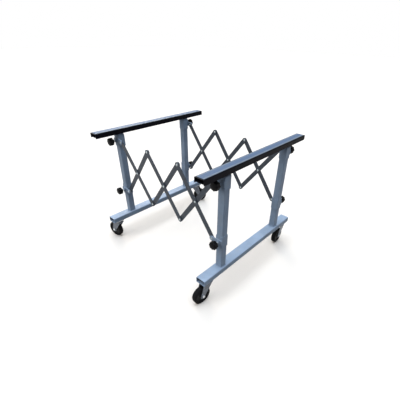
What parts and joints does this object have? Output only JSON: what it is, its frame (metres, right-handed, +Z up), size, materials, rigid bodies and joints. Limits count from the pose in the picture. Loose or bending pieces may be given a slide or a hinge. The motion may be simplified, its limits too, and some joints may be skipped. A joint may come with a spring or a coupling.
{
  "type": "extending trestle",
  "caption": "Mobile trestle: castor-mounted end frames with padded top rails, joined by front and rear scissor lattices on clamped sliding collars that set its length.",
  "frame": {"origin": "on the floor, midway between the two frames and midway between their front and rear posts", "axes": "+X from the left frame to the right frame, +Y from the front lattice to the rear lattice, +Z up"},
  "size_m": [1.1204, 1.0564, 0.868],
  "materials": {
    "frame_paint": "satin blue-grey paint",
    "channel_paint": "satin black paint",
    "pad_strip": "smooth slate-blue strip with a satin sheen",
    "dull_zinc": "dull zinc plate",
    "bright_zinc": "bright zinc plate",
    "knob_black": "moulded black plastic",
    "tyre_black": "black rubber"
  },
  "bodies": {
    "left_frame": {"left_base_rail": "frame_paint", "left_front_post": "frame_paint", "left_rear_post": "frame_paint", "left_top_channel": "channel_paint", "left_top_pad": "pad_strip", "left_castor_plates": "bright_zinc", "left_castor_bolts": "bright_zinc", "left_swivel_balls": "bright_zinc"},
    "left_upper_slide": {"left_upper_collars": "frame_paint", "left_upper_pins": "bright_zinc"},
    "down_bars_1": {"front_down_bar_1": "dull_zinc", "rear_down_bar_1": "dull_zinc"},
    "up_bars_1": {"front_up_bar_1": "dull_zinc", "rear_up_bar_1": "dull_zinc", "lattice_rivets_1": "bright_zinc"},
    "down_bars_2": {"front_down_bar_2": "dull_zinc", "rear_down_bar_2": "dull_zinc"},
    "up_bars_2": {"front_up_bar_2": "dull_zinc", "rear_up_bar_2": "dull_zinc", "lattice_rivets_2": "bright_zinc"},
    "down_bars_3": {"front_down_bar_3": "dull_zinc", "rear_down_bar_3": "dull_zinc"},
    "up_bars_3": {"front_up_bar_3": "dull_zinc", "rear_up_bar_3": "dull_zinc", "lattice_rivets_3": "bright_zinc"},
    "left_lower_slide": {"left_lower_collars": "frame_paint", "left_lower_pins": "bright_zinc"},
    "right_lower_slide": {"right_lower_collars": "frame_paint", "right_lower_pins": "bright_zinc"},
    "right_upper_slide": {"right_upper_collars": "frame_paint", "right_upper_pins": "bright_zinc"},
    "right_frame": {"right_base_rail": "frame_paint", "right_front_post": "frame_paint", "right_rear_post": "frame_paint", "right_top_channel": "channel_paint", "right_top_pad": "pad_strip", "right_castor_plates": "bright_zinc", "right_castor_bolts": "bright_zinc", "right_swivel_balls": "bright_zinc"},
    "left_front_castor": {"left_front_fork": "dull_zinc", "left_front_axle": "bright_zinc"},
    "left_front_roller": {"left_front_wheel": "tyre_black"},
    "left_front_upper_knob": {"left_front_upper_knob": "knob_black"},
    "left_front_lower_knob": {"left_front_lower_knob": "knob_black"},
    "left_rear_castor": {"left_rear_fork": "dull_zinc", "left_rear_axle": "bright_zinc"},
    "left_rear_roller": {"left_rear_wheel": "tyre_black"},
    "left_rear_upper_knob": {"left_rear_upper_knob": "knob_black"},
    "left_rear_lower_knob": {"left_rear_lower_knob": "knob_black"},
    "right_front_castor": {"right_front_fork": "dull_zinc", "right_front_axle": "bright_zinc"},
    "right_front_roller": {"right_front_wheel": "tyre_black"},
    "right_front_upper_knob": {"right_front_upper_knob": "knob_black"},
    "right_front_lower_knob": {"right_front_lower_knob": "knob_black"},
    "right_rear_castor": {"right_rear_fork": "dull_zinc", "right_rear_axle": "bright_zinc"},
    "right_rear_roller": {"right_rear_wheel": "tyre_black"},
    "right_rear_upper_knob": {"right_rear_upper_knob": "knob_black"},
    "right_rear_lower_knob": {"right_rear_lower_knob": "knob_black"}
  },
  "joints": [
    {"name": "lattice_height", "type": "slide", "parent": "left_frame", "child": "left_upper_slide", "axis": [0, 0, 1], "range_m": [-0.055, 0.009]},
    {"name": "lattice_fold", "type": "hinge", "parent": "left_upper_slide", "child": "down_bars_1", "pos_m": [-0.435, 0, 0.785], "axis": [0, 1, 0], "range_deg": [-37.5, 30]},
    {"name": "cross_1", "type": "hinge", "parent": "down_bars_1", "child": "up_bars_1", "pos_m": [-0.29, 0, 0.5925], "axis": [0, 1, 0], "range_deg": [-60, 75]},
    {"name": "bottom_vertex_1", "type": "hinge", "parent": "down_bars_1", "child": "up_bars_2", "pos_m": [-0.145, 0, 0.4], "axis": [0, 1, 0], "range_deg": [-60, 75]},
    {"name": "top_vertex_1", "type": "hinge", "parent": "up_bars_1", "child": "down_bars_2", "pos_m": [-0.145, 0, 0.785], "axis": [0, 1, 0], "range_deg": [-75, 60]},
    {"name": "top_vertex_2", "type": "hinge", "parent": "up_bars_2", "child": "down_bars_3", "pos_m": [0.145, 0, 0.785], "axis": [0, 1, 0], "range_deg": [-75, 60]},
    {"name": "bottom_vertex_2", "type": "hinge", "parent": "down_bars_2", "child": "up_bars_3", "pos_m": [0.145, 0, 0.4], "axis": [0, 1, 0], "range_deg": [-60, 75]},
    {"name": "left_lower_pivot", "type": "hinge", "parent": "up_bars_1", "child": "left_lower_slide", "pos_m": [-0.435, 0, 0.4], "axis": [0, 1, 0], "range_deg": [-37.5, 30]},
    {"name": "right_lower_pivot", "type": "hinge", "parent": "down_bars_3", "child": "right_lower_slide", "pos_m": [0.435, 0, 0.4], "axis": [0, 1, 0], "range_deg": [-30, 37.5]},
    {"name": "right_upper_pivot", "type": "hinge", "parent": "up_bars_3", "child": "right_upper_slide", "pos_m": [0.435, 0, 0.785], "axis": [0, 1, 0], "range_deg": [-37.5, 30]},
    {"name": "right_frame_height", "type": "slide", "parent": "right_upper_slide", "child": "right_frame", "axis": [0, 0, 1], "range_m": [-0.009, 0.055]},
    {"name": "left_front_swivel", "type": "hinge", "parent": "left_frame", "child": "left_front_castor", "pos_m": [-0.49, -0.443, 0.15], "axis": [0, 0, 1], "continuous": true},
    {"name": "left_front_roll", "type": "hinge", "parent": "left_front_castor", "child": "left_front_roller", "pos_m": [-0.53221, -0.45121, 0.0625], "axis": [0.1908, -0.9816, 0], "continuous": true},
    {"name": "left_front_upper_knob_turn", "type": "hinge", "parent": "left_upper_slide", "child": "left_front_upper_knob", "pos_m": [-0.49, -0.368, 0.785], "axis": [0, -1, 0], "range_deg": [0, 360]},
    {"name": "left_front_lower_knob_turn", "type": "hinge", "parent": "left_lower_slide", "child": "left_front_lower_knob", "pos_m": [-0.49, -0.368, 0.4], "axis": [0, -1, 0], "range_deg": [0, 360]},
    {"name": "left_rear_swivel", "type": "hinge", "parent": "left_frame", "child": "left_rear_castor", "pos_m": [-0.49, 0.443, 0.15], "axis": [0, 0, 1], "continuous": true},
    {"name": "left_rear_roll", "type": "hinge", "parent": "left_rear_castor", "child": "left_rear_roller", "pos_m": [-0.45276, 0.4645, 0.0625], "axis": [-0.5, 0.866, 0], "continuous": true},
    {"name": "left_rear_upper_knob_turn", "type": "hinge", "parent": "left_upper_slide", "child": "left_rear_upper_knob", "pos_m": [-0.49, 0.368, 0.785], "axis": [0, 1, 0], "range_deg": [0, 360]},
    {"name": "left_rear_lower_knob_turn", "type": "hinge", "parent": "left_lower_slide", "child": "left_rear_lower_knob", "pos_m": [-0.49, 0.368, 0.4], "axis": [0, 1, 0], "range_deg": [0, 360]},
    {"name": "right_front_swivel", "type": "hinge", "parent": "right_frame", "child": "right_front_castor", "pos_m": [0.49, -0.443, 0.15], "axis": [0, 0, 1], "continuous": true},
    {"name": "right_front_roll", "type": "hinge", "parent": "right_front_castor", "child": "right_front_roller", "pos_m": [0.48551, -0.48576, 0.0625], "axis": [0.9945, -0.1045, 0], "continuous": true},
    {"name": "right_front_upper_knob_turn", "type": "hinge", "parent": "right_upper_slide", "child": "right_front_upper_knob", "pos_m": [0.49, -0.368, 0.785], "axis": [0, -1, 0], "range_deg": [0, 360]},
    {"name": "right_front_lower_knob_turn", "type": "hinge", "parent": "right_lower_slide", "child": "right_front_lower_knob", "pos_m": [0.49, -0.368, 0.4], "axis": [0, -1, 0], "range_deg": [0, 360]},
    {"name": "right_rear_swivel", "type": "hinge", "parent": "right_frame", "child": "right_rear_castor", "pos_m": [0.49, 0.443, 0.15], "axis": [0, 0, 1], "continuous": true},
    {"name": "right_rear_roll", "type": "hinge", "parent": "right_rear_castor", "child": "right_rear_roller", "pos_m": [0.493, 0.4001, 0.0625], "axis": [0.9976, 0.0698, 0], "continuous": true},
    {"name": "right_rear_upper_knob_turn", "type": "hinge", "parent": "right_upper_slide", "child": "right_rear_upper_knob", "pos_m": [0.49, 0.368, 0.785], "axis": [0, 1, 0], "range_deg": [0, 360]},
    {"name": "right_rear_lower_knob_turn", "type": "hinge", "parent": "right_lower_slide", "child": "right_rear_lower_knob", "pos_m": [0.49, 0.368, 0.4], "axis": [0, 1, 0], "range_deg": [0, 360]}
  ],
  "couplings": [
    {"joint": "cross_1", "follows": "lattice_fold", "ratio": -2},
    {"joint": "bottom_vertex_1", "follows": "lattice_fold", "ratio": -2},
    {"joint": "top_vertex_1", "follows": "lattice_fold", "ratio": 2},
    {"joint": "top_vertex_2", "follows": "lattice_fold", "ratio": 2},
    {"joint": "bottom_vertex_2", "follows": "lattice_fold", "ratio": -2},
    {"joint": "left_lower_pivot", "follows": "lattice_fold", "ratio": 1},
    {"joint": "right_lower_pivot", "follows": "lattice_fold", "ratio": -1},
    {"joint": "right_upper_pivot", "follows": "lattice_fold", "ratio": 1},
    {"joint": "right_frame_height", "follows": "lattice_height", "ratio": -1}
  ]
}
